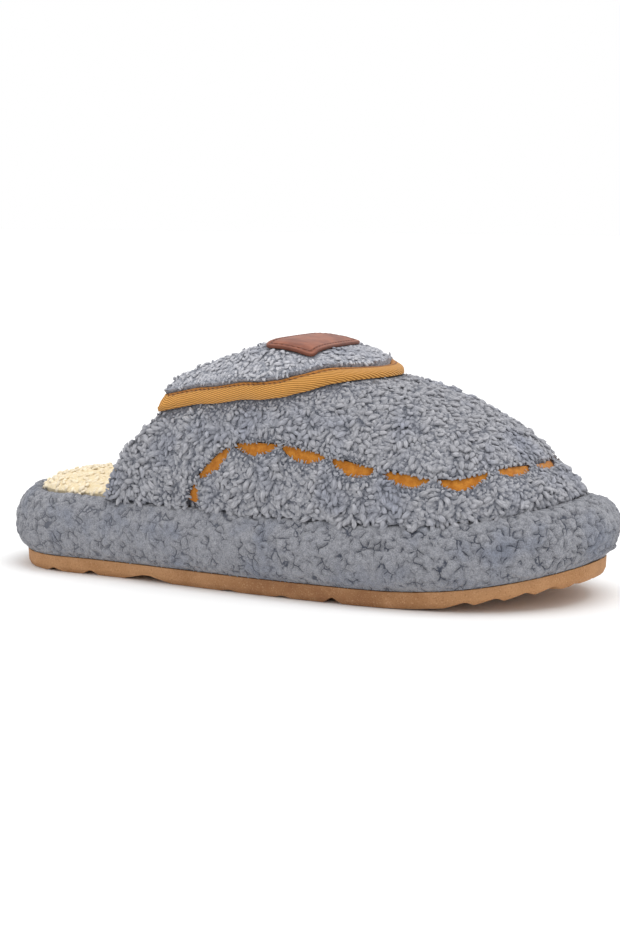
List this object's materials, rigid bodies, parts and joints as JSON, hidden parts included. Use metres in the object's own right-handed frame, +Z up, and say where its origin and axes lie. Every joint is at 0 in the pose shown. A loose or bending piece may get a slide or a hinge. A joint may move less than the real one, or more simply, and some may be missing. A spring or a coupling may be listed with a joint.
{
  "type": "house slipper",
  "caption": "Fleece mule slipper for the right foot on a fleece-covered platform sole, with a folded instep flap edged in twill tape.",
  "frame": {"origin": "on the floor, under the middle of the slipper's box", "axes": "+X towards the toe along the slipper, +Y towards the inner side of the foot, +Z up from the floor"},
  "size_m": [0.2846, 0.1134, 0.1084],
  "materials": {
    "outsole": "matt tan rubber with a fine grain",
    "fleece": "blue-grey sherpa fleece",
    "lining": "cream sherpa fleece",
    "suede": "tan suede",
    "tape": "golden brown twill tape",
    "leather": "brown leather, low gloss"
  },
  "bodies": {
    "root": {"outsole": "outsole", "midsole": "fleece", "insole": "lining", "upper": "fleece", "apron": "fleece", "seam_trim": "suede", "flap": "fleece", "binding": "tape", "patch": "leather"}
  },
  "joints": []
}
